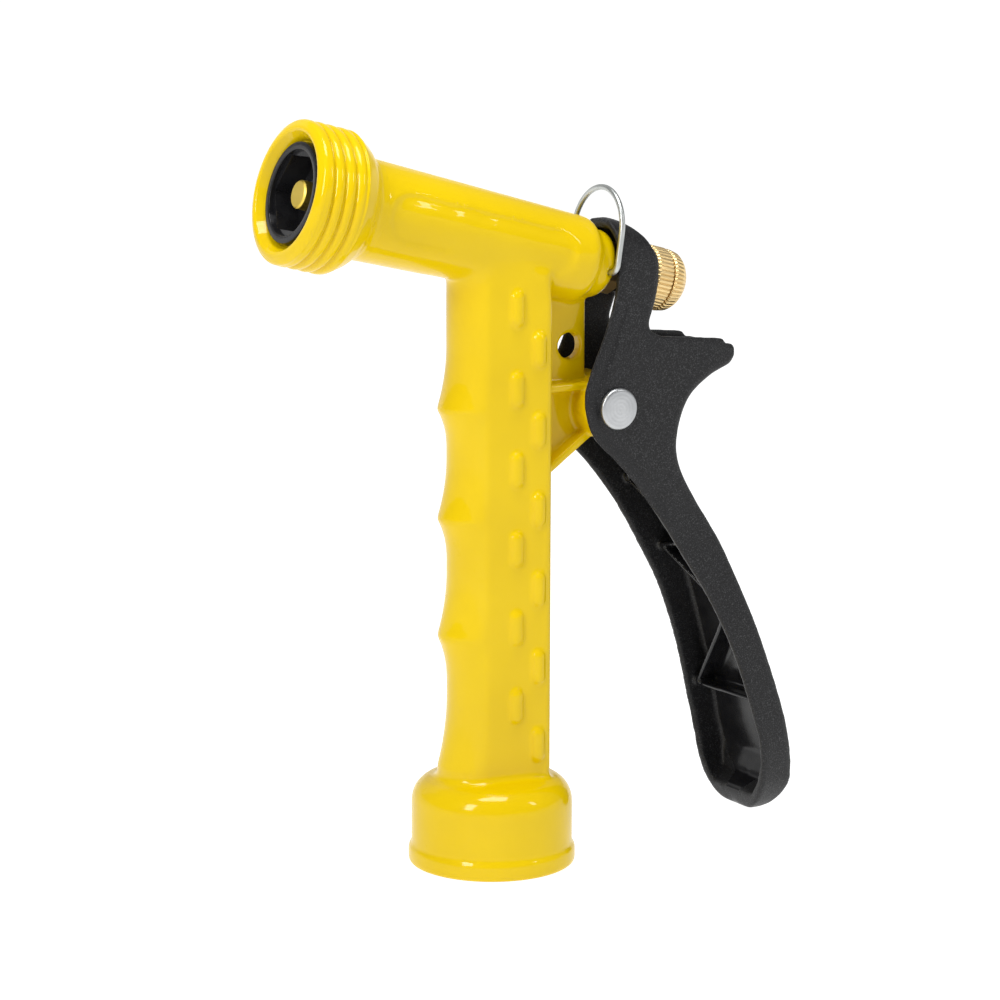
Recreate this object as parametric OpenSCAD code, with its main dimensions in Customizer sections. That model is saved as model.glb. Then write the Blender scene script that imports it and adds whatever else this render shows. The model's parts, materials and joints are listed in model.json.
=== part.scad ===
// Pistol-grip hose spray nozzle with a rear squeeze lever.
// Origin: centre of the hose inlet's bottom face. +Z runs up the handle,
// the muzzle points towards -X, and the lever is on the +X side.

/* [Handle] */
// Width of the handle at its rear face
handle_w = 17.4; // [17:0.1:18]
// Distance of the handle's rear face behind the handle axis
handle_rear = 8.5; // [8.3:0.1:8.8]
// Distance of the front corners of the handle's sides ahead of the handle axis
corner_x = 5.2; // [5:0.1:5.4]
// Half width of the handle at those corners
corner_hw = 7.15; // [7:0.05:7.3]
// Reach of the rounded front between two finger ridges
grip_valley = 8.65; // [8.4:0.05:9]
// Reach of the rounded front at a finger ridge
grip_ridge = 11; // [10.4:0.1:11.4]
// Heights of the finger ridges, top to bottom
ridge_z = [110, 88.3, 67.4, 44.8, 19.3];
// Width of a grip bump
bump_w = 3; // [2.6:0.1:3.4]
// Length of a grip bump
bump_len = 7; // [6:0.1:8]
// Height of a grip bump above the side
bump_h = 1; // [0.6:0.1:1.2]
// Spacing of the bumps in one row
bump_pitch = 15.15; // [14.8:0.05:15.4]

/* [Hose inlet] */
// Radius of the cup above its bottom flange
cup_r = 15.5; // [15.4:0.05:15.7]
// Radius of the flange at the mouth of the cup
flange_r = 16.1; // [15.9:0.1:16.6]
// Height of that flange
flange_h = 3.5; // [3:0.1:4]
// Height at which the cup's dome begins
cup_h = 12; // [11.8:0.1:12.4]
// Radius of the inlet thread's minor diameter, for a 3/4 inch garden hose
inlet_r = 12.3; // [12.2:0.05:12.4]
// Depth of the inlet thread
inlet_depth = 10; // [9.6:0.1:10.2]

/* [Barrel] */
// Tilt of the barrel, muzzle up
barrel_tilt = 14; // [13:0.5:15]
// Height where the barrel axis crosses the handle axis
barrel_z = 119.8; // [119.4:0.1:120.2]
// Barrel radius behind the outlet thread
barrel_r_front = 9.5; // [9.3:0.1:9.7]
// Barrel radius at its rear shoulder
barrel_r_rear = 8.4; // [8.3:0.05:8.6]
// Distance of the muzzle's front face from the handle axis
muzzle_t = 44.6; // [44.4:0.1:44.8]
// Major radius of the outlet thread, for a 3/4 inch garden hose
outlet_r = 13.4; // [13.3:0.05:13.5]
// Length of the threaded outlet ring
outlet_len = 10.4; // [10:0.1:10.8]
// Radius of the collar at the rear of the barrel
collar_r = 6.6; // [6.4:0.05:6.7]
// Rear end of the collar along the barrel
collar_t = 24.7; // [24.6:0.05:24.8]

/* [Lever] */
// Half width of the lever at the pivot and the crown
lever_hw = 7.7; // [7.65:0.05:7.75]
// Thickness of the lever's walls
lever_wall = 1.4; // [1.35:0.05:1.45]
// Pivot position behind the handle axis
pivot_x = 23.1; // [23:0.05:23.2]
// Pivot height
pivot_z = 87.25; // [87.15:0.05:87.35]

/* [Stem] */
// Radius of the stem's front tip
tip_r = 2.65; // [2.4:0.05:2.7]
// Radius of the stem's shaft
stem_r = 2.4; // [2.3:0.05:2.4]
// Radius of the knurled nuts on the stem
knob_r = 6.2; // [5.8:0.1:6.4]

/* [Wire loop] */
// Radius of the loop's wire
wire_r = 0.56; // [0.5:0.02:0.58]
// Length of the loop from its pivot to its top
loop_h = 15.8; // [15.4:0.1:16.2]
// Half the distance between the loop's legs, at the wire's centre
loop_hw = 8.4; // [8.38:0.02:8.5]
// Forward lean of the loop at rest
loop_lean = 6; // [5:0.5:7]

/* [Hidden] */

$fn = 96;
// Radial clearance of every shaft that turns or slides in a hole.
run_gap = 0.06;

// Colours
yellow = [0.95, 0.78, 0.05];
black = [0.09, 0.09, 0.1];
brass = [0.79, 0.64, 0.34];
steel = [0.72, 0.73, 0.75];
alu = [0.75, 0.76, 0.77];
rubber = [0.16, 0.16, 0.17];

// Stations along the barrel axis, positive towards the rear.
ring_rear = outlet_len - muzzle_t;
cone_rear = ring_rear + 4.5;
insert_face = -43.45;
insert_shoulder = -37;
insert_rear = -32;
tip_t = -42;
washer_front = insert_rear + 0.05;
washer_rear = -29;
clip_t = -11.5;
chamber_rear = 13.5;
packing_t = chamber_rear + 0.9;
packing_len = 4.2;
nut_head_t = collar_t;
nut_head_len = 3;
knob_t = 34.3;
knob_split = 38.3;
knob_rear = 42.4;
stem_end = 44.2;
shoulder_t = 20.9;
loop_t = 23.2;
loop_drop = 1.1;

insert_r = 9.4;
insert_tail_r = 7.4;
throat_r = 3.1;
chamber_r = 6.3;
gland_r = 4.4;
neck_r = 1.9;
passage_r = 5.8;
boss_hw = lever_hw - lever_wall - 0.1;
boss_r = 6.3;
rivet_r = 2.5;
rivet_head_r = 4;
rivet_head_h = 1.2;

// ---------------------------------------------------------------- helpers

// A point on a smooth curve through b and c, with neighbours a and d.
function smooth(a, b, c, d, t) =
    0.5 * (2 * b + (c - a) * t + (2 * a - 5 * b + 4 * c - d) * t * t
           + (3 * b - a - 3 * c + d) * t * t * t);

// A smooth curve through the points p, with n steps between each two.
function curve(p, n = 4) = [
    for (i = [0 : len(p) - 2], k = [0 : n - 1])
        smooth(p[max(i - 1, 0)], p[i], p[i + 1], p[min(i + 2, len(p) - 1)], k / n),
    p[len(p) - 1]];

// The left-hand normal at point i of a polyline.
function side_of(p, i) =
    let (d = p[min(i + 1, len(p) - 1)] - p[max(i - 1, 0)]) [-d[1], d[0]] / norm(d);

// The polyline p moved sideways by d.
function beside(p, d) = [for (i = [0 : len(p) - 1]) p[i] + d * side_of(p, i)];

// Points on an arc.
function arc(cx, cy, r, a0, a1, n = 8) =
    [for (i = [0 : n]) let (a = a0 + (a1 - a0) * i / n) [cx + r * cos(a), cy + r * sin(a)]];

// Places children in the barrel's frame: z to the rear along the axis, -x up.
module on_barrel(t = 0) {
    translate([0, 0, barrel_z]) rotate([0, 90 + barrel_tilt, 0]) translate([0, 0, t]) children();
}

// A disc or ring between two stations of the barrel.
module ring_on_barrel(t0, t1, r, bore = 0) {
    on_barrel(t0) difference() {
        cylinder(r = r, h = t1 - t0);
        if (bore > 0) translate([0, 0, -1]) cylinder(r = bore, h = t1 - t0 + 2);
    }
}

// A side outline in X and Z, made into a plate across Y.
module across(hw) {
    rotate([90, 0, 0]) linear_extrude(2 * hw, center = true) children();
}

// ---------------------------------------------------------------- body

// How far a finger ridge stands out: 1 at a ridge, 0 in the valley. u runs from
// one ridge down to the next.
function ridge_form(u) = u < 0.35 ? pow(1 - u / 0.35, 2) : u > 0.5 ? pow((u - 0.5) / 0.5, 1.7) : 0;

// Half width of the handle's tapered sides at x.
function side_hw(x) = corner_hw + (x + corner_x) * (handle_w / 2 - corner_hw) / (handle_rear + corner_x);

// Reach and height of the rounded front, from the barrel down to the inlet cup.
grip_steps = 12;
grip_levels = concat(
    [[grip_valley, barrel_z - 4]],
    [for (i = [0 : len(ridge_z) - 2], k = [(i == 0 ? 4 : 0) : grip_steps - 1])
        let (u = k / grip_steps)
        [grip_valley + (grip_ridge - grip_valley) * ridge_form(u),
         ridge_z[i] + (ridge_z[i + 1] - ridge_z[i]) * u]],
    [[grip_ridge, ridge_z[len(ridge_z) - 1]], [grip_ridge, 15]]);

// One level of the front: an arc through both side corners, closed inside the handle.
arc_steps = 20;
function front_ring(reach, z) =
    let (rise = reach - corner_x,
         r = (corner_hw * corner_hw + rise * rise) / (2 * rise),
         half = 2 * atan(rise / corner_hw))
    concat(
        [for (j = [0 : arc_steps]) let (a = 180 - half + 2 * half * j / arc_steps)
            [r - reach + r * cos(a), r * sin(a), z]],
        [[-1, 0.4 - corner_hw, z], [-1, corner_hw - 0.4, z]]);

// The rounded, ridged front of the handle.
module handle_front() {
    n = arc_steps + 3;
    levels = len(grip_levels);
    polyhedron(
        points = [for (g = grip_levels) for (p = front_ring(g[0], g[1])) p],
        faces = concat(
            [[for (j = [n - 1 : -1 : 0]) j]],
            [for (i = [0 : levels - 2], j = [0 : n - 1]) let (a = i * n + j, b = i * n + (j + 1) % n)
                each [[a, b, a + n], [b, b + n, a + n]]],
            [[for (j = [0 : n - 1]) (levels - 1) * n + j]]));
}

// The flat-sided rear of the handle, with its top trimmed parallel to the barrel.
module handle_back() {
    corner = 1.5;
    hw = handle_w / 2;
    difference() {
        translate([0, 0, 14]) linear_extrude(barrel_z - 14) union() {
            polygon([[-corner_x, -corner_hw], [handle_rear - corner, -side_hw(handle_rear - corner)],
                     [handle_rear - corner, side_hw(handle_rear - corner)], [-corner_x, corner_hw]]);
            translate([handle_rear - corner - 1, corner - hw]) square([corner + 1, 2 * (hw - corner)]);
            for (s = [-1, 1])
                translate([handle_rear - corner, s * (side_hw(handle_rear - corner) - corner)])
                    circle(corner);
        }
        on_barrel(-12) translate([-16, -10, 0]) cube([16 + 3.4, 20, 40]);
    }
}

// One pill-shaped grip bump on a side of the handle: the exposed cap of a round-ended
// rod that is sunk into the side.
module bump(x, z, s) {
    rod_r = (bump_w * bump_w / 4 + bump_h * bump_h) / (2 * bump_h);
    half = bump_len / 2 - bump_w / 2;
    translate([x, s * (side_hw(x) + bump_h - rod_r), z]) {
        translate([0, 0, -half]) cylinder(r = rod_r, h = 2 * half, $fn = 48);
        for (e = [-1, 1]) translate([0, 0, e * half]) sphere(rod_r, $fn = 48);
    }
}

module bumps() {
    for (s = [-1, 1], i = [0 : 5]) {
        bump(0.8, 107.6 - i * bump_pitch, s);
        bump(5.3, 99.7 - i * bump_pitch, s);
    }
}

module cup() {
    dome = 5;
    edge = 0.6;
    rotate_extrude() polygon(concat(
        [[0, 0], [flange_r - edge, 0]],
        arc(flange_r - edge, edge, edge, -90, 0, 4),
        arc(flange_r - edge, flange_h - edge, edge, 0, 90, 4),
        [[cup_r, flange_h + 0.4]],
        arc(cup_r - dome, cup_h, dome, 0, 78, 10),
        [[8, cup_h + dome + 0.4], [0, cup_h + dome + 0.4]]));
}

// The outside of the barrel: rounded rim, thread ring, shoulder cone, long taper,
// rounded rear shoulder and collar.
module barrel_shell() {
    rim = 2;
    shoulder = 3.3;
    collar_edge = 2.3;
    on_barrel() rotate_extrude() polygon(concat(
        [[0, -muzzle_t], [outlet_r - rim, -muzzle_t]],
        arc(outlet_r - rim, rim - muzzle_t, rim, -90, 0, 9),
        [[outlet_r, ring_rear - 0.4], [outlet_r - 0.4, ring_rear]],
        [[outlet_r - 2.2, ring_rear + 2.6], [barrel_r_front + 0.4, cone_rear - 0.5],
         [barrel_r_front, cone_rear]],
        arc(barrel_r_rear - shoulder, shoulder_t - shoulder, shoulder, 0, 60, 9),
        [[collar_r, shoulder_t]],
        arc(collar_r - collar_edge, collar_t - collar_edge, collar_edge, 0, 90, 6),
        [[0, collar_t]]));
}

// The shallow long panel in each side of the barrel.
module side_panels() {
    depth = 0.5;
    half_h = 4.5;
    t0 = -27.3;
    t1 = 13.9;
    floor_len = 60;
    on_barrel() difference() {
        intersection() {
            union() {
                for (t = [t0 + half_h, t1 - half_h]) translate([0, 0, t]) rotate([90, 0, 0])
                    cylinder(r = half_h, h = 40, center = true);
                translate([-half_h, -20, t0 + half_h]) cube([2 * half_h, 40, t1 - t0 - 2 * half_h]);
            }
            translate([0, 0, -30]) cylinder(r = 14, h = floor_len);
        }
        translate([0, 0, cone_rear])
            cylinder(r1 = barrel_r_front - depth, r2 = barrel_r_rear - depth, h = 45.3);
        translate([0, 0, cone_rear - 5]) cylinder(r = barrel_r_front - depth, h = 5.01);
    }
}

// The lug behind the handle that carries the lever's pivot.
module lug() {
    web_hw = 1.25;
    flange_hw = 4.4;
    flange = 1.6;
    lug_rear = 20;
    // Web, from the barrel down to the lower flange.
    across(web_hw) polygon([[6, 72], [lug_rear + 2, 83], [lug_rear + 2, 91], [lug_rear, 92],
                            [lug_rear, 109], [16, 114], [6, 114]]);
    // Upper flange.
    across(flange_hw) polygon([[6, 90.7], [pivot_x, 90.7], [pivot_x, 90.7 + flange],
                               [6, 90.7 + flange]]);
    // Lower flange.
    across(flange_hw) polygon([[6, 72.1], [handle_rear, 73.9], [22, 83.4], [22, 85.4],
                               [handle_rear, 75.9], [6, 74.1]]);
    translate([pivot_x, 0, pivot_z]) rotate([90, 0, 0])
        cylinder(r = boss_r, h = 2 * boss_hw, center = true);
}

module body_casting() {
    color(yellow) difference() {
        union() {
            handle_front();
            handle_back();
            bumps();
            cup();
            lug();
            difference() {
                barrel_shell();
                side_panels();
            }
        }
        // Inlet thread, washer seat and the water passage up the handle.
        translate([0, 0, -1]) cylinder(r = inlet_r, h = inlet_depth + 1);
        translate([0, 0, inlet_depth - 0.01]) cylinder(r = inlet_r + 0.6, h = 3.31);
        translate([0, 0, inlet_depth]) cylinder(r = passage_r, h = barrel_z - inlet_depth - 2);
        // Mouth of the muzzle, insert bore, valve chamber and gland.
        on_barrel(-muzzle_t - 0.3) cylinder(r1 = 11.9, r2 = 9.5, h = 2.4);
        on_barrel(-muzzle_t + 1) cylinder(r = insert_r, h = muzzle_t - 1 + insert_shoulder);
        on_barrel(insert_shoulder - 1) cylinder(r = insert_tail_r, h = insert_rear - insert_shoulder + 1);
        on_barrel(insert_rear - 1) cylinder(r = chamber_r, h = chamber_rear - insert_rear + 1);
        on_barrel(chamber_rear - 1) cylinder(r = gland_r, h = 20);
        // Pivot hole, hanging hole in the web and the holes for the wire loop.
        translate([pivot_x, 0, pivot_z]) rotate([90, 0, 0]) cylinder(r = rivet_r, h = 30, center = true);
        translate([16.4, 0, 99]) rotate([90, 0, 0]) cylinder(r = 2.5, h = 10, center = true);
        on_barrel(loop_t) translate([loop_drop, 0, 0]) rotate([90, 0, 0])
            cylinder(r = wire_r + run_gap, h = 30, center = true);
    }
}

// ---------------------------------------------------------------- outlet insert

module nozzle_insert() {
    color(black) difference() {
        union() {
            ring_on_barrel(insert_face, insert_shoulder, insert_r);
            ring_on_barrel(insert_shoulder, insert_rear, insert_tail_r);
        }
        // Hexagonal socket for the fitting key.
        on_barrel(insert_face - 1) cylinder(r = 7.9, h = 1.8);
        on_barrel(insert_face - 1) rotate([0, 0, 30]) cylinder(r = 7.8, h = 6.6, $fn = 6);
        // Spray throat with its conical mouth.
        on_barrel(insert_face + 5.5) cylinder(r1 = 4.6, r2 = throat_r, h = 1.5);
        on_barrel(insert_face + 5) cylinder(r = throat_r, h = 12);
    }
}

module insert_seal() {
    seal_r = 0.5;
    color(rubber) on_barrel(insert_shoulder - seal_r) rotate_extrude()
        translate([insert_tail_r + 1, 0]) circle(seal_r, $fn = 32);
}

// ---------------------------------------------------------------- stem and valve

module valve_stem() {
    shoulder_r = 4.3;
    dome_t = knob_rear + 0.1;
    color(brass) on_barrel() rotate_extrude() polygon(concat(
        [[0, tip_t], [tip_r - 0.3, tip_t], [tip_r, tip_t + 0.3], [tip_r, tip_t + 3.4],
         [neck_r, tip_t + 4.4], [neck_r, washer_rear], [shoulder_r, washer_rear],
         [shoulder_r, washer_rear + 1.4], [stem_r, washer_rear + 2], [stem_r, clip_t - 0.7],
         [stem_r - 0.5, clip_t - 0.7], [stem_r - 0.5, clip_t], [stem_r, clip_t],
         [stem_r, dome_t], [2.9, dome_t]],
        arc(0, stem_end - 3, 3, 25, 90, 6)));
}

module valve_washer() {
    color(rubber) on_barrel() rotate_extrude() polygon([
        [neck_r, washer_front], [3.9, washer_front], [4.8, washer_front + 0.6], [4.8, washer_rear],
        [neck_r, washer_rear]]);
}

module washer_retainer() {
    color(brass) ring_on_barrel(washer_front - 0.9, washer_front, 2.7, neck_r);
}

module spring_clip() {
    color(steel) ring_on_barrel(clip_t - 0.7, clip_t, 3.8, stem_r - 0.5);
}

module spring_seat() {
    color(steel) ring_on_barrel(clip_t, clip_t + 0.8, 4.5, stem_r);
}

// Compression spring: a wire of hexagonal section swept along a helix.
module return_spring() {
    coil_r = 3.5;
    coil_wire = 0.45;
    t0 = clip_t + 0.85 + coil_wire;
    t1 = chamber_rear - 0.05 - coil_wire;
    turns = 9;
    steps = turns * 16;
    sides = 6;
    rings = [for (i = [0 : steps]) let (
            a = 360 * turns * i / steps,
            z = t0 + (t1 - t0) * i / steps)
        [for (j = [0 : sides - 1]) let (b = 360 * j / sides)
            [(coil_r + coil_wire * cos(b)) * cos(a), (coil_r + coil_wire * cos(b)) * sin(a),
             z + coil_wire * sin(b)]]];
    color(steel) on_barrel() polyhedron(
        points = [for (ring = rings) for (p = ring) p],
        faces = concat(
            [[for (j = [0 : sides - 1]) j]],
            [for (i = [0 : steps - 1], j = [0 : sides - 1]) let (
                    a = i * sides + j, b = i * sides + (j + 1) % sides)
                [a, a + sides, b + sides, b]],
            [[for (j = [sides - 1 : -1 : 0]) steps * sides + j]]));
}

module gland_washer() {
    color(steel) ring_on_barrel(chamber_rear, packing_t, gland_r, stem_r + run_gap);
}

module stem_packing() {
    ring_r = (gland_r - stem_r - run_gap) / 2;
    color(rubber) for (i = [0, 1])
        on_barrel(packing_t + ring_r + i * packing_len / 2) rotate_extrude()
            translate([gland_r - ring_r, 0]) circle(ring_r, $fn = 32);
}

module packing_washer() {
    color(brass) ring_on_barrel(packing_t + packing_len, packing_t + packing_len + 1, gland_r,
                                stem_r + run_gap);
}

module packing_nut() {
    color(brass) difference() {
        union() {
            ring_on_barrel(packing_t + packing_len + 1, nut_head_t, gland_r);
            on_barrel(nut_head_t) cylinder(r = 5, h = nut_head_len, $fn = 6);
        }
        on_barrel(packing_t) cylinder(r = stem_r + run_gap, h = 20);
    }
}

// ---------------------------------------------------------------- knurled nuts

// Straight knurling: shallow V grooves round a rim.
module knurl_grooves(t0, t1, r) {
    count = 36;
    side = 0.54;
    for (i = [0 : count - 1]) on_barrel(t0) rotate([0, 0, i * 360 / count]) translate([r, 0, 0])
        rotate([0, 0, 45]) translate([-side / 2, -side / 2, -1]) cube([side, side, t1 - t0 + 2]);
}

module adjusting_nut() {
    edge = 0.5;
    color(brass) difference() {
        on_barrel() rotate_extrude() polygon([
            [stem_r + run_gap, knob_t], [knob_r - edge, knob_t], [knob_r, knob_t + edge],
            [knob_r, knob_split - edge], [knob_r - edge, knob_split],
            [stem_r + run_gap, knob_split]]);
        knurl_grooves(knob_t, knob_split, knob_r);
    }
}

module lock_nut() {
    edge = 0.5;
    color(brass) difference() {
        on_barrel() rotate_extrude() polygon([
            [stem_r + run_gap, knob_split], [knob_r - edge, knob_split],
            [knob_r - 0.1, knob_split + edge], [knob_r - 0.5, knob_rear - 1.7],
            [knob_r - 1.9, knob_rear], [stem_r + run_gap, knob_rear]]);
        knurl_grooves(knob_split, knob_rear, knob_r - 0.1);
    }
}

// ---------------------------------------------------------------- lever

// Side outline of the lever, X and Z. The crown is the arch over the stem, the horn
// is the thumb rest behind the pivot and the tail is the part that the palm squeezes.
crown_back = curve([[23.4, 122.6], [25.6, 123], [29.1, 121], [32, 117.3], [32.9, 113.3],
                    [32.3, 108], [30.6, 103.1]]);
notch = curve([[30.6, 103.1], [31.1, 101.6], [33.1, 100.5]]);
horn_tip = [[33.1, 100.5], [47.6, 99.2], [48.6, 97.9], [49.9, 98.1], [50.4, 97.2], [50.4, 94.9],
            [49.7, 93.9]];
tail_back = curve([[49.7, 93.9], [45.1, 92], [40.5, 88.5], [38.2, 83.9], [37.4, 78.6], [38.6, 73.8],
                   [42.4, 67.3], [47.3, 59.6], [51.3, 51.1], [55, 42], [58.3, 32.3], [61, 23.1],
                   [63, 13.5]]);
tail_end = curve([[63, 13.5], [63.2, 9], [61.9, 4.4], [59.6, 2.3], [57.4, 3.2], [56.4, 7]]);
tail_front = curve([[56.4, 7], [55.4, 14.9], [52.8, 25.7], [49, 37.4], [44.1, 48.1], [39.4, 55.7],
                    [33.1, 65.3], [25.6, 74.7], [18.6, 81.6], [16.7, 86.3], [16.4, 90.4], [17.7, 94.5],
                    [19.6, 98.8], [21.2, 102.7], [22.9, 108.5], [23.5, 114.2], [23.6, 118.5],
                    [23.4, 122.6]]);

// Half width of the lever at each height, from the tail's tip up.
lever_widths = curve([[0, 2.1], [4.4, 2.7], [8.2, 5.2], [11, 9.4], [12.2, 14.6], [12.5, 20.5],
                      [11.7, 30.9], [10.6, 41.5], [9.5, 49.2], [8.5, 56.9], [7.8, 65.6],
                      [lever_hw, 73.3]]);

// One closed outline from stretches that each start where the last one ended.
function joined(stretches) = [for (s = stretches, k = [1 : len(s) - 1]) s[k]];

module lever_outline() {
    polygon(joined([crown_back, notch, horn_tip, tail_back, tail_end, tail_front]));
}

// The lever's space seen from behind: y across, z up, narrowed by the wall thickness.
module lever_space(wall) {
    right = concat([for (p = lever_widths) [max(p[0] - wall, 0), p[1] + (p[1] < 17 ? wall : 0)]],
                   [[lever_hw - wall, 140]]);
    left = [for (i = [len(right) - 1 : -1 : 0]) if (right[i][0] > 0) [-right[i][0], right[i][1]]];
    rotate([90, 0, 90]) linear_extrude(90) polygon(concat(right, left));
}

// Everything above the crown's arch.
module above_arch(hw) {
    arch_up = 1.3;
    difference() {
        on_barrel(15) translate([-22 - arch_up, -15, 0]) cube([22, 30, 30]);
        // Slightly wider than the lever, so that the arch meets the sides at an edge.
        on_barrel(14) translate([-arch_up, 0, 0]) cylinder(r = hw + 0.2, h = 32);
    }
}

// Everything between the side walls and in front of the back wall.
module lever_hollow() {
    crown_bottom = 108;
    inner_back = beside(tail_back, -0.8 * lever_wall);
    inner_crown = beside(crown_back, -1.5 * lever_wall);
    difference() {
        intersection() {
            union() {
                across(15) polygon(concat(
                    [[12, crown_bottom], [47, crown_bottom]], inner_back,
                    [[60.4, 8.6], [50, 2], [44, 29], [20, 67], [8, 83]]));
                across(15) polygon(concat(
                    [[12, 130], [23, 130]], [for (p = inner_crown) if (p[1] > crown_bottom - 3) p],
                    [[12, crown_bottom - 3]]));
            }
            lever_space(lever_wall);
        }
        above_arch(lever_hw - lever_wall);
    }
}

// Nodes of the zigzag stiffening rib inside the tail: side and height.
rib_nodes = [[-1, 26.6], [1, 26], [-1, 45.4], [1, 56.5], [-1, 59], [1, 71], [-1, 80]];
rib_wall = 0.9;
rib_depth = 4.2;

// Half width inside the lever's tail at height z.
function inner_hw(z) = lookup(z, [for (p = lever_widths) [p[1], p[0]]]) - lever_wall;

// Zigzag stiffening ribs on the inside of the tail's back wall.
module lever_ribs() {
    root = beside(tail_back, -0.8 * lever_wall + 0.3);
    crest = beside(tail_back, -0.8 * lever_wall - rib_depth);
    upper = [for (i = [0 : len(root) - 1]) if (root[i][1] < 82) root[i]];
    lower = [for (i = [len(crest) - 1 : -1 : 0]) if (crest[i][1] < 82) crest[i]];
    intersection() {
        across(15) polygon(concat(upper, lower));
        lever_space(lever_wall - 0.3);
        translate([20, 0, 0]) rotate([90, 0, 90]) linear_extrude(60)
            for (i = [0 : len(rib_nodes) - 2]) let (
                    n0 = rib_nodes[i], n1 = rib_nodes[i + 1],
                    p = [n0[0] * inner_hw(n0[1]), n0[1]], q = [n1[0] * inner_hw(n1[1]), n1[1]],
                    u = (q - p) / norm(q - p), v = [-u[1], u[0]] * rib_wall / 2)
                polygon([p - 2 * u - v, q + 2 * u - v, q + 2 * u + v, p - 2 * u + v]);
    }
}

module trigger_lever() {
    slot_hw = 2.9;
    color(black) difference() {
        union() {
            difference() {
                intersection() {
                    across(15) lever_outline();
                    lever_space(0);
                }
                lever_hollow();
                above_arch(lever_hw);
            }
            lever_ribs();
        }
        // Slot for the stem, open below.
        on_barrel(27) translate([-1.6, 0, 0]) cylinder(r = slot_hw, h = 12);
        on_barrel(27) translate([-1.6, -slot_hw, 0]) cube([12, 2 * slot_hw, 12]);
        // Pivot hole.
        translate([pivot_x, 0, pivot_z]) rotate([90, 0, 0])
            cylinder(r = rivet_r + run_gap, h = 30, center = true);
    }
}

module pivot_rivet() {
    color(alu) translate([pivot_x, 0, pivot_z]) rotate([90, 0, 0]) {
        cylinder(r = rivet_r, h = 2 * lever_hw + 1, center = true);
        for (s = [0, 180]) rotate([s, 0, 0]) translate([0, 0, lever_hw + 0.05]) rotate_extrude()
            polygon([[0, 0], [rivet_head_r, 0], [rivet_head_r, 0.5], [rivet_head_r - 0.35, 0.9],
                     [2.6, rivet_head_h], [0, rivet_head_h]]);
    }
}

// ---------------------------------------------------------------- loop and washer

module wire_loop() {
    bend = 1.8;
    straight = loop_h - loop_hw;
    tip_end = 4.9;
    color(steel) on_barrel(loop_t) translate([loop_drop, 0, 0]) rotate([0, -loop_lean, 0]) union() {
        // Half circle over the top.
        translate([-straight, 0, 0]) intersection() {
            rotate_extrude() translate([loop_hw, 0]) circle(wire_r, $fn = 24);
            translate([-20, -20, -5]) cube([20, 40, 10]);
        }
        for (s = [-1, 1]) {
            // Leg.
            translate([-straight, s * loop_hw, 0]) rotate([0, 90, 0])
                cylinder(r = wire_r, h = straight - bend, $fn = 24);
            // Bend towards the collar.
            translate([-bend, s * (loop_hw - bend), 0]) intersection() {
                rotate_extrude() translate([bend, 0]) circle(wire_r, $fn = 24);
                translate([0, s > 0 ? 0 : -5, -5]) cube([5, 5, 10]);
            }
            // Tip in the collar's hole.
            translate([0, s * (loop_hw - bend), 0]) rotate([s * 90, 0, 0])
                cylinder(r = wire_r, h = loop_hw - bend - tip_end, $fn = 24);
        }
    }
}

module hose_washer() {
    color(rubber) translate([0, 0, inlet_depth]) difference() {
        cylinder(r = inlet_r + 0.6, h = 3);
        translate([0, 0, -1]) cylinder(r = 7.9, h = 5);
    }
}

body_casting();
nozzle_insert();
insert_seal();
valve_stem();
valve_washer();
washer_retainer();
spring_clip();
spring_seat();
return_spring();
gland_washer();
stem_packing();
packing_washer();
packing_nut();
adjusting_nut();
lock_nut();
trigger_lever();
pivot_rivet();
wire_loop();
hose_washer();
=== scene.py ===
"""Looks, floor, light and camera for the hose spray nozzle."""

import json
import math

import bmesh
import bpy
import numpy as np
from mathutils import Matrix, Vector


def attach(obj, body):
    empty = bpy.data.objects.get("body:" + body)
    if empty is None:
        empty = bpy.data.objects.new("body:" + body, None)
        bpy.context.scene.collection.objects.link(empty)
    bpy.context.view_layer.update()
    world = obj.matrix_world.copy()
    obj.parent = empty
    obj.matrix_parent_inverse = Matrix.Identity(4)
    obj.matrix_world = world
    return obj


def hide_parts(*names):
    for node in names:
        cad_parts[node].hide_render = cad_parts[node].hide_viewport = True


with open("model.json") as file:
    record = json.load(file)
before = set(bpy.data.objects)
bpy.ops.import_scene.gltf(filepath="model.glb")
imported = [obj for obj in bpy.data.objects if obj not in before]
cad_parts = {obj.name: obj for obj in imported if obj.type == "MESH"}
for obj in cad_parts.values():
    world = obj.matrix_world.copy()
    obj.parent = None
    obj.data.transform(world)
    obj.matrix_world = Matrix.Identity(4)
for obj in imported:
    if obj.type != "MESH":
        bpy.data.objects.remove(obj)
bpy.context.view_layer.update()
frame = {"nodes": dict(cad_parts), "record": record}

# ------------------------------------------------------------------ shared frame

MM = 0.001
TILT = math.radians(14)
BARREL_Z = 119.8
AXIS = Vector((math.cos(TILT), 0, -math.sin(TILT)))
UP = Vector((math.sin(TILT), 0, math.cos(TILT)))
# The CAD's sizes in mm; t is measured along the barrel, towards the rear.
MUZZLE = -44.6
BARREL_FRONT = -29.5
BARREL_R, BARREL_R_AT = 9.5, -29
BARREL_TAPER = 1.1 / 46
RING_R = 13.4
STEM_R = 2.4
RUN_GAP = 0.06
LOOP_T = 23.2
LOOP_DROP = 1.1
WIRE_R = 0.56
HANDLE_FRONT, HANDLE_REAR = -5.2, 8.5
HANDLE_FRONT_HW, HANDLE_REAR_HW = 7.15, 8.7
CUP_TOP = 16.9
PIVOT = (23.1, 87.25)
LEVER_HW = 7.7
# The size of the even meshes' cells, in metres.
VOXEL = 0.3 * MM


def on_barrel(t, up, side):
    """A point given along the barrel, above its axis and to the left, all in mm."""
    return (Vector((0, 0, BARREL_Z)) + AXIS * t + UP * up + Vector((0, -side, 0))) * MM


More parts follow.
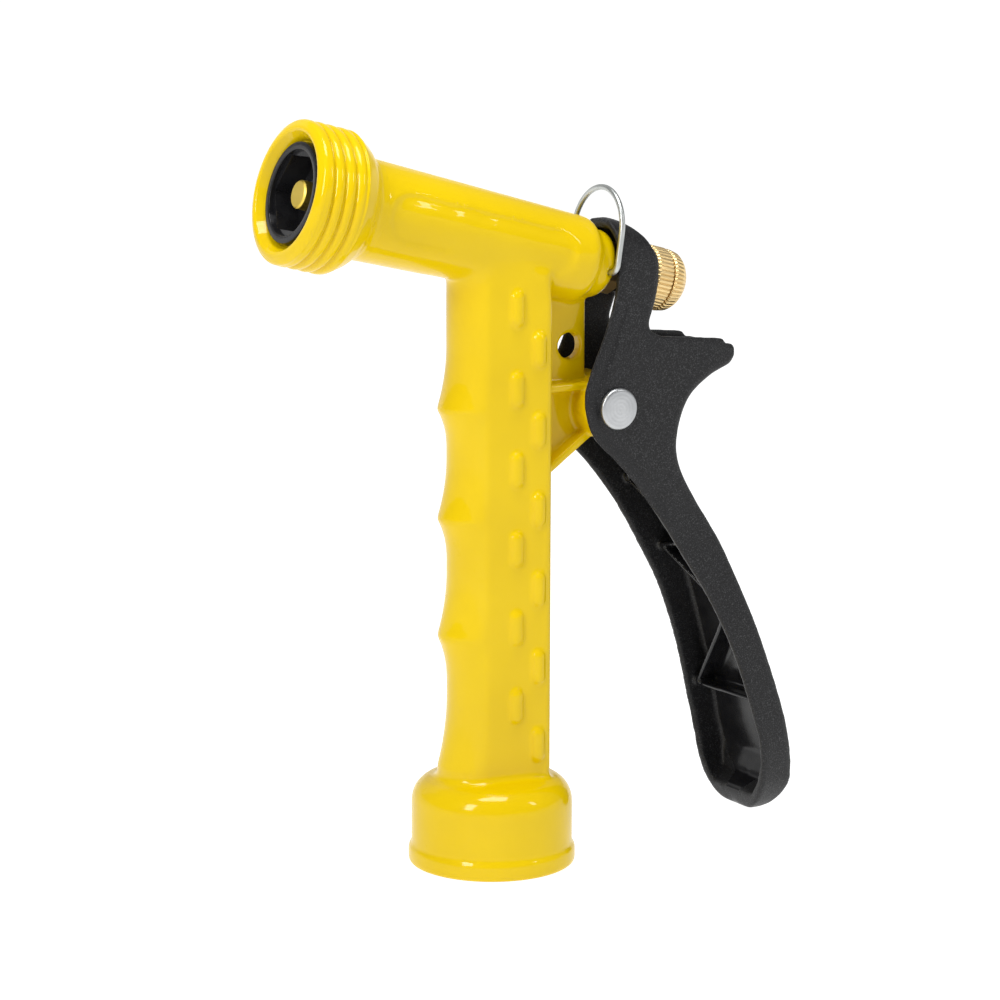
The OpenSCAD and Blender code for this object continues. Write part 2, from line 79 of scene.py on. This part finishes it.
def barrel_coords(co):
    """Distance along the barrel, height above its axis and side of each point, in mm."""
    x, z = co[:, 0] / MM, co[:, 2] / MM - BARREL_Z
    return x * AXIS.x + z * AXIS.z, x * UP.x + z * UP.z, co[:, 1] / MM


# ------------------------------------------------------------------ materials

def node_material(name, roughness, metallic=0.0, coat=0.0, coat_roughness=0.05, ior=1.5):
    """A new material with its constants on the shader, ready for colour and bump."""
    material = bpy.data.materials.new(name)
    material.use_nodes = True
    shader = material.node_tree.nodes["Principled BSDF"]
    shader.inputs["Roughness"].default_value = roughness
    shader.inputs["Metallic"].default_value = metallic
    shader.inputs["IOR"].default_value = ior
    shader.inputs["Coat Weight"].default_value = coat
    shader.inputs["Coat Roughness"].default_value = coat_roughness
    return material, shader


def noise(material, scale, detail=2.0, stretch=(1, 1, 1)):
    """Object-space noise whose features are about 1/scale metres wide."""
    nodes, links = material.node_tree.nodes, material.node_tree.links
    place = nodes.new("ShaderNodeTexCoord")
    mapping = nodes.new("ShaderNodeMapping")
    mapping.inputs["Scale"].default_value = stretch
    texture = nodes.new("ShaderNodeTexNoise")
    texture.inputs["Scale"].default_value = scale
    texture.inputs["Detail"].default_value = detail
    links.new(place.outputs["Object"], mapping.inputs["Vector"])
    links.new(mapping.outputs["Vector"], texture.inputs["Vector"])
    return texture.outputs["Fac"]


def ramp(material, value, stops):
    """A colour ramp over value; stops are (position, colour) pairs."""
    nodes, links = material.node_tree.nodes, material.node_tree.links
    node = nodes.new("ShaderNodeValToRGB")
    elements = node.color_ramp.elements
    while len(elements) < len(stops):
        elements.new(0.5)
    for element, (position, colour) in zip(elements, stops):
        element.position = position
        element.color = (*colour, 1)
    links.new(value, node.inputs["Fac"])
    return node.outputs["Color"]


def remap(material, value, low, high):
    """value from 0..1 to low..high."""
    node = material.node_tree.nodes.new("ShaderNodeMapRange")
    node.inputs["To Min"].default_value = low
    node.inputs["To Max"].default_value = high
    material.node_tree.links.new(value, node.inputs["Value"])
    return node.outputs["Result"]


def bump(material, shader, height, distance, before=None):
    """Adds a bump of the given height in metres; before is an earlier bump's output."""
    node = material.node_tree.nodes.new("ShaderNodeBump")
    node.inputs["Strength"].default_value = 1.0
    node.inputs["Distance"].default_value = distance
    links = material.node_tree.links
    links.new(height, node.inputs["Height"])
    if before is not None:
        links.new(before, node.inputs["Normal"])
    links.new(node.outputs["Normal"], shader.inputs["Normal"])
    return node.outputs["Normal"]


def yellow_paint():
    """Glossy sprayed paint on a casting: even colour, slow waves and fine orange peel."""
    m, s = node_material("yellow_paint", 0.28, coat=0.45, coat_roughness=0.035, ior=1.1)
    tone = ramp(m, noise(m, 45, 3), [(0.3, (0.635, 0.434, 0.0)), (0.7, (0.69, 0.48, 0.0))])
    m.node_tree.links.new(tone, s.inputs["Base Color"])
    m.node_tree.links.new(remap(m, noise(m, 260, 3), 0.24, 0.36), s.inputs["Roughness"])
    wave = bump(m, s, noise(m, 110, 1), 0.00012)
    bump(m, s, noise(m, 1100, 2), 0.000012, before=wave)
    return m


def black_textured():
    """Black texture coat: fine grains that catch the light."""
    m, s = node_material("black_textured", 0.42, ior=1.36)
    grain = noise(m, 4500, 1.5)
    tone = ramp(m, grain, [(0.4, (0.0035, 0.0035, 0.004)), (0.56, (0.008, 0.008, 0.009)),
                           (0.74, (0.05, 0.051, 0.053))])
    m.node_tree.links.new(tone, s.inputs["Base Color"])
    m.node_tree.links.new(remap(m, noise(m, 900, 3), 0.34, 0.52), s.inputs["Roughness"])
    bump(m, s, grain, 0.00008)
    return m


def black_plastic():
    """Smooth black moulding with a dull gloss."""
    m, s = node_material("black_plastic", 0.2, ior=1.33)
    tone = ramp(m, noise(m, 300, 3), [(0.35, (0.006, 0.006, 0.007)),
                                      (0.65, (0.011, 0.011, 0.012))])
    m.node_tree.links.new(tone, s.inputs["Base Color"])
    m.node_tree.links.new(remap(m, noise(m, 700, 2), 0.1, 0.24), s.inputs["Roughness"])
    bump(m, s, noise(m, 1500, 2), 0.00001)
    return m


def brass():
    """Turned brass, a deep yellow in the outlet and a paler tan on the nuts."""
    m, s = node_material("brass", 0.3, metallic=1.0)
    nodes, links = m.node_tree.nodes, m.node_tree.links
    split = nodes.new("ShaderNodeSeparateXYZ")
    links.new(nodes.new("ShaderNodeTexCoord").outputs["Object"], split.inputs["Vector"])
    rearward = nodes.new("ShaderNodeMapRange")
    rearward.inputs["From Min"].default_value = -20 * MM
    rearward.inputs["From Max"].default_value = 20 * MM
    links.new(split.outputs["X"], rearward.inputs["Value"])
    mix = nodes.new("ShaderNodeMix")
    mix.data_type = "RGBA"
    links.new(rearward.outputs["Result"], mix.inputs["Factor"])
    patches = noise(m, 160, 4)
    deep = ramp(m, patches, [(0.3, (0.66, 0.48, 0.07)), (0.7, (0.78, 0.59, 0.11))])
    tan = ramp(m, patches, [(0.3, (0.68, 0.49, 0.22)), (0.7, (0.82, 0.62, 0.31))])
    links.new(deep, mix.inputs[6])
    links.new(tan, mix.inputs[7])
    links.new(mix.outputs[2], s.inputs["Base Color"])
    links.new(remap(m, noise(m, 500, 3), 0.34, 0.5), s.inputs["Roughness"])
    bump(m, s, noise(m, 2200, 2, (1, 0.12, 0.12)), 0.000012)
    return m


def bright_metal(name, colour_low, colour_high, rough_low, rough_high, stretch, depth):
    """A bare white metal: patchy in colour and gloss, with fine marks along one way."""
    m, s = node_material(name, 0.35, metallic=1.0)
    tone = ramp(m, noise(m, 240, 4), [(0.3, colour_low), (0.7, colour_high)])
    m.node_tree.links.new(tone, s.inputs["Base Color"])
    m.node_tree.links.new(remap(m, noise(m, 600, 3), rough_low, rough_high), s.inputs["Roughness"])
    bump(m, s, noise(m, 1800, 2, stretch), depth)
    return m


def rivet_metal():
    """Bare metal with faint turned rings round the pivot's axis."""
    m = bright_metal("rivet_metal", (0.4, 0.41, 0.42), (0.5, 0.51, 0.52), 0.32, 0.44,
                     (1, 1, 1), 0.000008)
    nodes, links = m.node_tree.nodes, m.node_tree.links
    mapping = nodes.new("ShaderNodeMapping")
    mapping.inputs["Location"].default_value = (-PIVOT[0] * MM, 0, -PIVOT[1] * MM)
    links.new(nodes.new("ShaderNodeTexCoord").outputs["Object"], mapping.inputs["Vector"])
    rings = nodes.new("ShaderNodeTexWave")
    rings.wave_type = "RINGS"
    rings.rings_direction = "Y"
    rings.inputs["Scale"].default_value = 420
    links.new(mapping.outputs["Vector"], rings.inputs["Vector"])
    shader = nodes["Principled BSDF"]
    before = shader.inputs["Normal"].links[0].from_socket
    bump(m, shader, rings.outputs["Fac"], 0.000012, before=before)
    return m


def rubber():
    """Matt black rubber."""
    m, s = node_material("rubber", 0.7)
    tone = ramp(m, noise(m, 500, 3), [(0.3, (0.02, 0.02, 0.021)), (0.7, (0.045, 0.045, 0.047))])
    m.node_tree.links.new(tone, s.inputs["Base Color"])
    bump(m, s, noise(m, 1800, 2), 0.00003)
    return m


MATERIALS = {
    "yellow_paint": yellow_paint(),
    "black_textured": black_textured(),
    "black_plastic": black_plastic(),
    "brass": brass(),
    "steel": bright_metal("steel", (0.5, 0.51, 0.53), (0.62, 0.63, 0.65), 0.25, 0.4,
                          (1, 0.2, 0.2), 0.000006),
    "zinc_wire": bright_metal("zinc_wire", (0.42, 0.44, 0.43), (0.58, 0.6, 0.59), 0.3, 0.46,
                              (1, 1, 0.15), 0.000008),
    "rivet_metal": rivet_metal(),
    "rubber": rubber(),
}
SLOTS = {row["node"]: row["material_slot"] for row in frame["record"]["subparts"]}
for node, slot_name in SLOTS.items():
    cad_node = frame["nodes"][node]
    cad_node.data.materials.clear()
    cad_node.data.materials.append(MATERIALS[slot_name])


# ------------------------------------------------------------------ pieces

def piece_from(name, mesh, body, node):
    """Links a mesh as a piece that stands for a CAD node and rides on its body."""
    piece = bpy.data.objects.new(name, mesh)
    bpy.context.scene.collection.objects.link(piece)
    mesh.materials.clear()
    mesh.materials.append(MATERIALS[SLOTS[node]])
    mesh.polygons.foreach_set("use_smooth", [True] * len(mesh.polygons))
    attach(piece, body)
    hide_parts(node)
    return piece


def mesh_of(name, points, faces):
    """A mesh from points in metres and faces of point numbers."""
    mesh = bpy.data.meshes.new(name)
    mesh.from_pydata([tuple(p) for p in points], [], faces)
    mesh.update()
    return mesh


def lathe(name, profile, steps, place, radius=None, closed=False):
    """Turns (t, r) points round an axis. place(t, up, side) gives a point, and radius may
    change r by the angle. The ends of an open profile at r = 0 close to a point."""
    points, faces = [], []
    for t, r in profile:
        for k in range(steps):
            angle = 2 * math.pi * k / steps
            rr = radius(t, r, angle) if radius else r
            points.append(place(t, rr * math.cos(angle), rr * math.sin(angle)))
    rows = len(profile)
    for i in range(rows if closed else rows - 1):
        j = (i + 1) % rows
        for k in range(steps):
            n = (k + 1) % steps
            faces.append((i * steps + k, i * steps + n, j * steps + n, j * steps + k))
    mesh = mesh_of(name, points, faces)
    build = bmesh.new()
    build.from_mesh(mesh)
    bmesh.ops.remove_doubles(build, verts=build.verts, dist=1e-7)
    bmesh.ops.recalc_face_normals(build, faces=build.faces)
    build.to_mesh(mesh)
    build.free()
    return mesh


def rounded(points, radius, steps=5):
    """A (t, r) outline with its inner corners rounded; radius is one value or one a corner."""
    out = [points[0]]
    for i in range(1, len(points) - 1):
        p, q, s = (Vector(points[i + k]) for k in (-1, 0, 1))
        size = radius[i - 1] if isinstance(radius, (list, tuple)) else radius
        size = min(size, (p - q).length * 0.48, (s - q).length * 0.48)
        a, b = q + (p - q).normalized() * size, q + (s - q).normalized() * size
        for k in range(steps + 1):
            u = k / steps
            out.append(tuple(a * (1 - u) ** 2 + q * 2 * u * (1 - u) + b * u * u))
    out.append(points[-1])
    return out


def densify(points, step):
    """Extra points along an outline, so that no stretch is longer than step."""
    out = [points[0]]
    for p, q in zip(points, points[1:]):
        count = max(1, math.ceil(math.dist(p, q) / step))
        out += [(p[0] + (q[0] - p[0]) * k / count, p[1] + (q[1] - p[1]) * k / count)
                for k in range(1, count + 1)]
    return out


def solid_copy(name, node, voxel, cut=None):
    """An even, fine mesh of a CAD node. cut is a plane (point, normal): what lies on its
    normal's side is left out."""
    mesh = frame["nodes"][node].data.copy()
    build = bmesh.new()
    build.from_mesh(mesh)
    bmesh.ops.remove_doubles(build, verts=build.verts, dist=1e-6)
    if cut:
        everything = build.verts[:] + build.edges[:] + build.faces[:]
        bmesh.ops.bisect_plane(build, geom=everything, plane_co=cut[0], plane_no=cut[1],
                               clear_outer=True)
        bmesh.ops.holes_fill(build, edges=[e for e in build.edges if e.is_boundary])
    build.to_mesh(mesh)
    build.free()
    carrier = bpy.data.objects.new(name + "_source", mesh)
    bpy.context.scene.collection.objects.link(carrier)
    modifier = carrier.modifiers.new("even", "REMESH")
    modifier.mode = "VOXEL"
    modifier.voxel_size = voxel
    graph = bpy.context.evaluated_depsgraph_get()
    result = bpy.data.meshes.new_from_object(carrier.evaluated_get(graph))
    result.name = name
    bpy.data.objects.remove(carrier)
    return result


class Relax:
    """Moves the points of a mesh towards their neighbours."""

    def __init__(self, mesh):
        """Reads the points, and each edge once in each direction."""
        self.mesh = mesh
        count = len(mesh.vertices)
        self.co = np.empty(count * 3)
        mesh.vertices.foreach_get("co", self.co)
        self.co = self.co.reshape(-1, 3)
        pairs = np.empty(len(mesh.edges) * 2, dtype=np.int64)
        mesh.edges.foreach_get("vertices", pairs)
        pairs = pairs.reshape(-1, 2)
        self.a = np.concatenate([pairs[:, 0], pairs[:, 1]])
        self.b = np.concatenate([pairs[:, 1], pairs[:, 0]])
        self.degree = np.maximum(np.bincount(self.a, minlength=count), 1)

    def mean(self, values):
        """The mean of each point's neighbours."""
        count = len(self.co)
        return np.stack([np.bincount(self.a, values[self.b, k], minlength=count) / self.degree
                         for k in range(values.shape[1])], axis=1)

    def smooth(self, rounds, weight=1.0):
        """Moves points to their neighbours' mean; weight says how much, for each point."""
        weight = np.broadcast_to(np.asarray(weight, dtype=float), (len(self.co),))[:, None]
        for _ in range(rounds):
            self.co += (self.mean(self.co) - self.co) * weight * 0.6

    def keep_size(self, rounds, weight=1.0):
        """Smooths without shrinking: each step in is followed by a step out."""
        weight = np.broadcast_to(np.asarray(weight, dtype=float), (len(self.co),))[:, None]
        for _ in range(rounds):
            self.co += (self.mean(self.co) - self.co) * weight * 0.5
            self.co -= (self.mean(self.co) - self.co) * weight * 0.53

    def finish(self):
        """Writes the points back to the mesh."""
        self.mesh.vertices.foreach_set("co", self.co.ravel())
        self.mesh.update()


def near(value, centre, full, fade):
    """1 where value is within full of centre, falling to 0 over fade."""
    return np.clip(1 - (np.abs(value - centre) - full) / fade, 0, 1)


# ------------------------------------------------------------------ casting

def body_casting():
    """The painted casting behind the thread ring, with its edges and corners softened."""
    cut = (on_barrel(BARREL_FRONT, 0, 0), -AXIS)
    relax = Relax(solid_copy("painted_casting", "body_casting", VOXEL, cut))
    x, y, z = relax.co.T / MM
    widening = (HANDLE_REAR_HW - HANDLE_FRONT_HW) / (HANDLE_REAR - HANDLE_FRONT)
    along = np.clip(x, HANDLE_FRONT, HANDLE_REAR) - HANDLE_FRONT
    side_hw = HANDLE_FRONT_HW + along * widening
    # The grip bumps keep their shape, the rest is softened more.
    proud = near(np.abs(y) - side_hw, 0.8, 0.75, 0.2)
    on_bump = proud * near(x, 3, 6.5, 1) * near(z, 65, 48, 3)
    relax.keep_size(5)
    relax.smooth(7, 1 - 0.85 * on_bump)
    x, y, z = relax.co.T / MM
    t, up, side = barrel_coords(relax.co)
    rho = np.hypot(up, side)
    barrel_r = BARREL_R - (t - BARREL_R_AT) * BARREL_TAPER
    front = np.clip(1 - ((HANDLE_FRONT - x) / 5.0) ** 2, 0, 1)
    outside = np.abs(y) - np.where(x < HANDLE_FRONT, side_hw * np.sqrt(front), side_hw)
    below = up < 0
    # Fillet under the barrel, round the handle's top.
    fillet = near(rho - barrel_r, 0.6, 1.2, 1.6) * near(outside, 0.4, 1, 2) * near(x, -1, 12.5, 2)
    ahead = near(rho - barrel_r, 0.6, 1.6, 1.8) * near(x, -9.6, 2.6, 2)
    fillet = np.maximum(fillet, ahead) * below
    # Fillet where the handle stands on the inlet's dome.
    dome = near(z, CUP_TOP, 0.8, 1.3) * near(np.hypot(x, y), 9, 1.8, 2) * (rho > 20)
    # Fillets of the lug's plates on the handle.
    plates = near(x, 8.9, 0.3, 0.9) * (z > 70) * (z < 107) * (np.abs(y) < 6) * 0.7
    relax.smooth(46, np.maximum(np.maximum(fillet, dome), plates))
    # Soft edges of the side panels.
    panel = near(t, -6.7, 21.5, 2.5) * near(up, 0, 5.4, 1.4) * (np.abs(side) > 5)
    relax.smooth(9, panel)
    relax.keep_size(8, 1 - on_bump)
    relax.finish()
    piece_from("painted_casting", relax.mesh, "body", "body_casting")


def thread_ring():
    """The outlet ring: rounded rim, rolled hose thread, and the cone down to the barrel."""
    pitch = 2.26
    depth = 0.72
    crest = -40.53 - pitch * 80 / 360
    first, last = -43.3, -34.9
    core = 12.2

    def radius(t, r, angle):
        if r < core or t > last:
            return r
        phase = (t - crest) / pitch - angle / (2 * math.pi)
        away = abs((phase + 0.5) % 1 - 0.5) * 2
        valley = depth * away ** 2.4
        fade_in = min(1, max(0, (t - first) / 1.3))
        fade_out = min(1, max(0, (last - t) / 0.5))
        return r - valley * fade_in * fade_out

    outer = rounded([(-42.0, 9.5), (-42.1, 9.7), (-42.9, 10.2), (MUZZLE, 11.2), (MUZZLE, 12.0),
                     (-43.9, RING_R - 0.1), (-42.6, RING_R), (last, RING_R), (-34.2, 13.0),
                     (-32.1, 11.7), (-30.7, 10.3), (-29.8, 9.6), (-28.6, 9.48), (-27.8, 9.3)],
                    [0.1, 0.4, 1.3, 0.5, 0.9, 0.8, 0.5, 0.5, 0.9, 0.9, 0.9, 0.5], 8)
    profile = densify(outer, 0.11) + [(-28.5, 8.9), (-30.2, 8.2), (-31.9, 7.45), (-37, 7.45),
                                      (-37, 9.45), (-42.0, 9.45)]
    mesh = lathe("thread_ring", profile, 360, on_barrel, radius, closed=True)
    piece_from("thread_ring", mesh, "body", "body_casting")


# ------------------------------------------------------------------ brass nuts

def knurled(name, node, profile, count=42, depth=0.28):
    """A straight-knurled nut: flat-topped ridges with narrow grooves between them."""
    steps = count * 10
    smooth_r = 4.4
    half_groove = 0.22
    # More than 1, so that a groove has a flat floor.
    steepness = 1.35

    def radius(t, r, angle):
        if r < smooth_r:
            return r
        place = (angle * count / (2 * math.pi)) % 1
        groove = max(0.0, 1 - abs(place - 0.5) / half_groove)
        return r - depth * min(1.0, groove * steepness) * min(1.0, (r - smooth_r) * 2)

    mesh = lathe(name, profile, steps, on_barrel, radius, closed=True)
    piece_from(name, mesh, "adjuster", node)


def nuts():
    """The adjusting nut and, behind it, the lock nut with its tapered end."""
    bore = STEM_R + RUN_GAP
    knurled("adjusting_knob", "adjusting_nut",
            rounded([(34.3, bore), (34.3, 4.6), (34.3, 5.75), (34.75, 6.15), (37.75, 6.15),
                     (38.12, 5.8), (38.16, 5.2), (38.16, bore)], 0.12, 3))
    knurled("locking_knob", "lock_nut",
            rounded([(38.34, bore), (38.34, 5.2), (38.4, 5.75), (38.8, 6.1), (40.4, 5.8),
                     (41.3, 5.15), (42.1, 4.2), (42.4, 3.7), (42.4, bore)], 0.14, 3))


# ------------------------------------------------------------------ lever

def curve_through(keys, steps):
    """A Catmull-Rom curve through the keys."""
    out = []
    for i in range(len(keys) - 1):
        p0, p1 = keys[max(i - 1, 0)], keys[i]
        p2, p3 = keys[i + 1], keys[min(i + 2, len(keys) - 1)]
        for k in range(steps):
            u = k / steps
            out.append(tuple(
                0.5 * (2 * p1[c] + (p2[c] - p0[c]) * u
                       + (2 * p0[c] - 5 * p1[c] + 4 * p2[c] - p3[c]) * u * u
                       + (3 * p1[c] - p0[c] - 3 * p2[c] + p3[c]) * u ** 3) for c in (0, 1)))
    out.append(tuple(keys[-1]))
    return out


def distance_to(curve, x, z):
    """Distance of points to a polyline."""
    best = np.full(len(x), 1e9)
    for (ax, az), (bx, bz) in zip(curve, curve[1:]):
        dx, dz = bx - ax, bz - az
        u = np.clip(((x - ax) * dx + (z - az) * dz) / (dx * dx + dz * dz), 0, 1)
        best = np.minimum(best, np.hypot(x - ax - u * dx, z - az - u * dz))
    return best


def lever():
    """The moulded lever, with soft outer edges and the step along its front edges."""
    relax = Relax(solid_copy("squeeze_lever", "trigger_lever", VOXEL))
    relax.smooth(8)
    relax.keep_size(40, near(relax.co[:, 2] / MM, 0, 22, 12))
    x, y, z = relax.co.T / MM
    back = curve_through([(32, 117.3), (32.9, 113.3), (32.3, 108), (30.6, 103.1)], 5)
    tail = curve_through([(49.7, 93.9), (45.1, 92), (40.5, 88.5), (38.2, 83.9), (37.4, 78.6),
                          (38.6, 73.8), (42.4, 67.3), (47.3, 59.6), (51.3, 51.1), (55, 42),
                          (58.3, 32.3), (61, 23.1), (63, 13.5), (63.2, 9), (61.9, 4.4),
                          (59.6, 2.3)], 4)
    top = curve_through([(23.4, 122.6), (25.6, 123), (29.1, 121), (32, 117.3)], 5)
    to_back = np.minimum(distance_to(back, x, z), distance_to(tail, x, z))
    to_top = distance_to(top, x, z)
    # Half the lever's width at rising heights, and how far inside it each point lies.
    heights = [0, 4.4, 8.2, 11, 14.6, 20.5, 30.9, 41.5, 49.2, 56.9, 65.6, 73.3, 130]
    half_widths = [2.1, 2.7, 5.2, 9.4, 12.2, 12.5, 11.7, 10.6, 9.5, 8.5, 7.8, 7.7, 7.7]
    inward = np.interp(z, heights, half_widths) - np.abs(y)
    # Rounded outer edges along the back.
    edge = near(to_back, 0, 0.9, 1.1) * near(inward, 0, 1.3, 1.3)
    edge = np.maximum(edge, near(to_top, 0, 0.6, 0.9) * near(inward, 0, 1.2, 1.2) * 0.7)
    # The hollow's rounded lower end.
    bowl = near(z, 8, 12, 4) * near(inward, 3, 2.4, 1.0) * (to_back > 1.0) * 0.8
    relax.smooth(26, np.maximum(edge, bowl))
    # The outer plates stand a little proud of a band along their front edge.
    front = curve_through([(39.4, 55.7), (33.1, 65.3), (25.6, 74.7), (18.6, 81.6), (16.7, 86.3),
                           (16.4, 90.4), (17.7, 94.5), (19.6, 98.8), (21.2, 102.7),
                           (22.9, 108.5)], 6)
    x, y, z = relax.co.T / MM
    to_front = distance_to(front, x, z)
    plate = (np.abs(y) > LEVER_HW - 0.55) * near(z, 86, 17, 5)
    band_width, step = 2.7, 0.36
    band = near(to_front, 0, band_width, 0.1) * plate
    relax.keep_size(5)
    relax.co[:, 1] -= np.sign(y) * band * step * MM
    relax.finish()
    piece = piece_from("squeeze_lever", relax.mesh, "lever", "trigger_lever")
    # Inside the tail the back wall and the ribs are smooth and glossy.
    glossy = (inward > 1.75) & (to_back > 0.75) & (z < 98)
    corners = np.empty(len(relax.mesh.loops), dtype=np.int64)
    relax.mesh.loops.foreach_get("vertex_index", corners)
    starts = np.empty(len(relax.mesh.polygons), dtype=np.int64)
    relax.mesh.polygons.foreach_get("loop_start", starts)
    piece.data.materials.append(MATERIALS["black_plastic"])
    relax.mesh.polygons.foreach_set("material_index", glossy[corners[starts]].astype(np.int32))


# ------------------------------------------------------------------ rivet and wire loop

def rivet():
    """The pivot rivet: a shank with a low domed head on each side."""
    face = LEVER_HW
    head = [(face + 0.02, 2.5), (face + 0.02, 3.85), (face + 0.14, 4.0), (face + 0.72, 4.0),
            (face + 1.02, 3.8), (face + 1.12, 3.45), (face + 1.17, 2.2), (face + 1.2, 0.0)]
    head = rounded(head, [0.05, 0.1, 0.25, 0.2, 0.25, 0.8], 4)
    profile = [(-t, r) for t, r in reversed(head)] + head

    def place(t, up, side):
        return Vector((PIVOT[0] + side, t, PIVOT[1] + up)) * MM

    mesh = lathe("pivot_rivet_heads", profile, 96, place)
    piece_from("pivot_rivet_heads", mesh, "body", "pivot_rivet")


def wire_loop():
    """The wire loop, one bent wire whose tips sit in the collar."""
    height, half, bend, tip = 15.8, 8.4, 1.8, 4.95
    lean = math.radians(6)
    bend_steps, leg_steps, arch_steps = 10, 5, 49
    straight = height - half
    path = [(0, tip)]
    path += [(bend - bend * math.cos(a), half - bend + bend * math.sin(a))
             for a in np.radians(np.linspace(0, 90, bend_steps))]
    path += [(bend + (straight - bend) * k / (leg_steps + 1), half)
             for k in range(1, leg_steps + 1)]
    path += [(straight + half * math.sin(a), half * math.cos(a))
             for a in np.radians(np.linspace(0, 180, arch_steps))]
    path += [(s, -y) for s, y in reversed(path[: 1 + bend_steps + leg_steps])]
    along_loop = UP * math.cos(lean) - AXIS * math.sin(lean)
    centre = on_barrel(LOOP_T, -LOOP_DROP, 0)
    points = [centre + (along_loop * s + Vector((0, y, 0))) * MM for s, y in path]
    across = along_loop.cross(Vector((0, 1, 0))).normalized()
    sides, end_scale = 20, 0.82
    verts, faces = [], []
    for i, p in enumerate(points):
        ahead = (points[min(i + 1, len(points) - 1)] - points[max(i - 1, 0)]).normalized()
        second = ahead.cross(across).normalized()
        scale = end_scale if i in (0, len(points) - 1) else 1
        for k in range(sides):
            a = 2 * math.pi * k / sides
            offset = across * math.cos(a) + second * math.sin(a)
            verts.append(p + offset * WIRE_R * scale * MM)
    for i in range(len(points) - 1):
        for k in range(sides):
            n = (k + 1) % sides
            faces.append((i * sides + k, i * sides + n, (i + 1) * sides + n, (i + 1) * sides + k))
    faces.append(tuple(range(sides)))
    faces.append(tuple((len(points) - 1) * sides + k for k in reversed(range(sides))))
    mesh = mesh_of("hanging_loop", verts, faces)
    piece_from("hanging_loop", mesh, "loop", "wire_loop")


def insert():
    """The black outlet insert: face ring, hexagonal key socket and conical throat."""
    corner_r = 7.8
    flat_share = math.cos(math.radians(30))

    def radius(t, r, angle):
        if not 7.0 < r < 7.85:
            return r
        turned = (angle - math.radians(30)) % math.radians(60) - math.radians(30)
        return min(r * flat_share / math.cos(turned), corner_r)

    outer = rounded([(-32, 3.1), (-32, 7.35), (-37, 7.35), (-37, 9.36), (-43.45, 9.36),
                     (-43.45, 7.9), (-42.6, 7.9)], [0.2, 0.1, 0.2, 0.3, 0.22], 4)
    inner = [(-42.6, 7.84), (-42.5, corner_r), (-38, corner_r), (-37.85, 7.7), (-37.85, 4.7),
             (-37.7, 4.55), (-36.4, 3.1), (-32, 3.1)]
    mesh = lathe("outlet_insert", outer + inner, 240, on_barrel, radius, closed=True)
    piece_from("outlet_insert", mesh, "body", "nozzle_insert")
    mesh.set_sharp_from_angle(angle=math.radians(32))


body_casting()
thread_ring()
nuts()
lever()
rivet()
wire_loop()
insert()

# ------------------------------------------------------------------ floor, light, camera

def floor():
    """A plain white floor whose far rim rises to close the horizon."""
    flat_r, rim_r, rim_height = 20, 24, 4
    mesh = lathe("floor", [(0, 0), (0, flat_r), (rim_height, rim_r)], 96,
                 lambda height, x, y: Vector((x, y, height)))
    material, shader = node_material("floor_paper", 0.9)
    shader.inputs["Emission Color"].default_value = (1, 1, 1, 1)
    shader.inputs["Emission Strength"].default_value = 0.9
    tone = ramp(material, noise(material, 3, 1), [(0.3, (0.4, 0.4, 0.4)),
                                                  (0.7, (0.42, 0.42, 0.42))])
    material.node_tree.links.new(tone, shader.inputs["Base Color"])
    mesh.materials.append(material)
    piece = bpy.data.objects.new("floor", mesh)
    bpy.context.scene.collection.objects.link(piece)


def area_light(name, place, target, size, power):
    """A rectangular softbox at a place, turned to a target."""
    data = bpy.data.lights.new(name, "AREA")
    data.shape = "RECTANGLE"
    data.size, data.size_y = size
    data.energy = power
    lamp = bpy.data.objects.new(name, data)
    lamp.location = place
    lamp.rotation_euler = (Vector(target) - Vector(place)).to_track_quat("-Z", "Y").to_euler()
    bpy.context.scene.collection.objects.link(lamp)


def lights():
    """Softboxes round the nozzle and a dim, even surrounding."""
    middle = (0.01, 0, 0.075)
    area_light("left", (-0.55, -0.24, 0.46), middle, (0.16, 0.34), 2.4)
    area_light("right", (0.42, -0.5, 0.5), middle, (0.1, 0.18), 0.6)
    area_light("top", (-0.05, -0.1, 0.7), middle, (0.32, 0.26), 3.3)
    area_light("behind", (0.1, 0.65, 0.35), middle, (0.9, 0.5), 0.6)
    world = bpy.data.worlds.new("studio")
    world.use_nodes = True
    background = world.node_tree.nodes["Background"]
    background.inputs["Color"].default_value = (1, 1, 1, 1)
    background.inputs["Strength"].default_value = 0.28
    bpy.context.scene.world = world


def camera():
    """A long lens, nearly level, ahead of the nozzle on its left."""
    azimuth, elevation, roll = math.radians(-31.03), math.radians(10.2), math.radians(0.11)
    distance = 0.5787
    target = Vector((0.00172, 0, 0.07034))
    back = Vector((math.sin(azimuth) * math.cos(elevation),
                   -math.cos(azimuth) * math.cos(elevation), math.sin(elevation)))
    data = bpy.data.cameras.new("camera")
    data.lens = 109.76
    data.sensor_width = 36
    data.clip_start = 0.01
    lens = bpy.data.objects.new("camera", data)
    turn = (-back).to_track_quat("-Z", "Y").to_matrix().to_4x4() @ Matrix.Rotation(roll, 4, "Z")
    lens.matrix_world = Matrix.Translation(target + back * distance) @ turn
    bpy.context.scene.collection.objects.link(lens)
    bpy.context.scene.camera = lens


floor()
lights()
camera()
bpy.context.scene.view_settings.view_transform = "Standard"
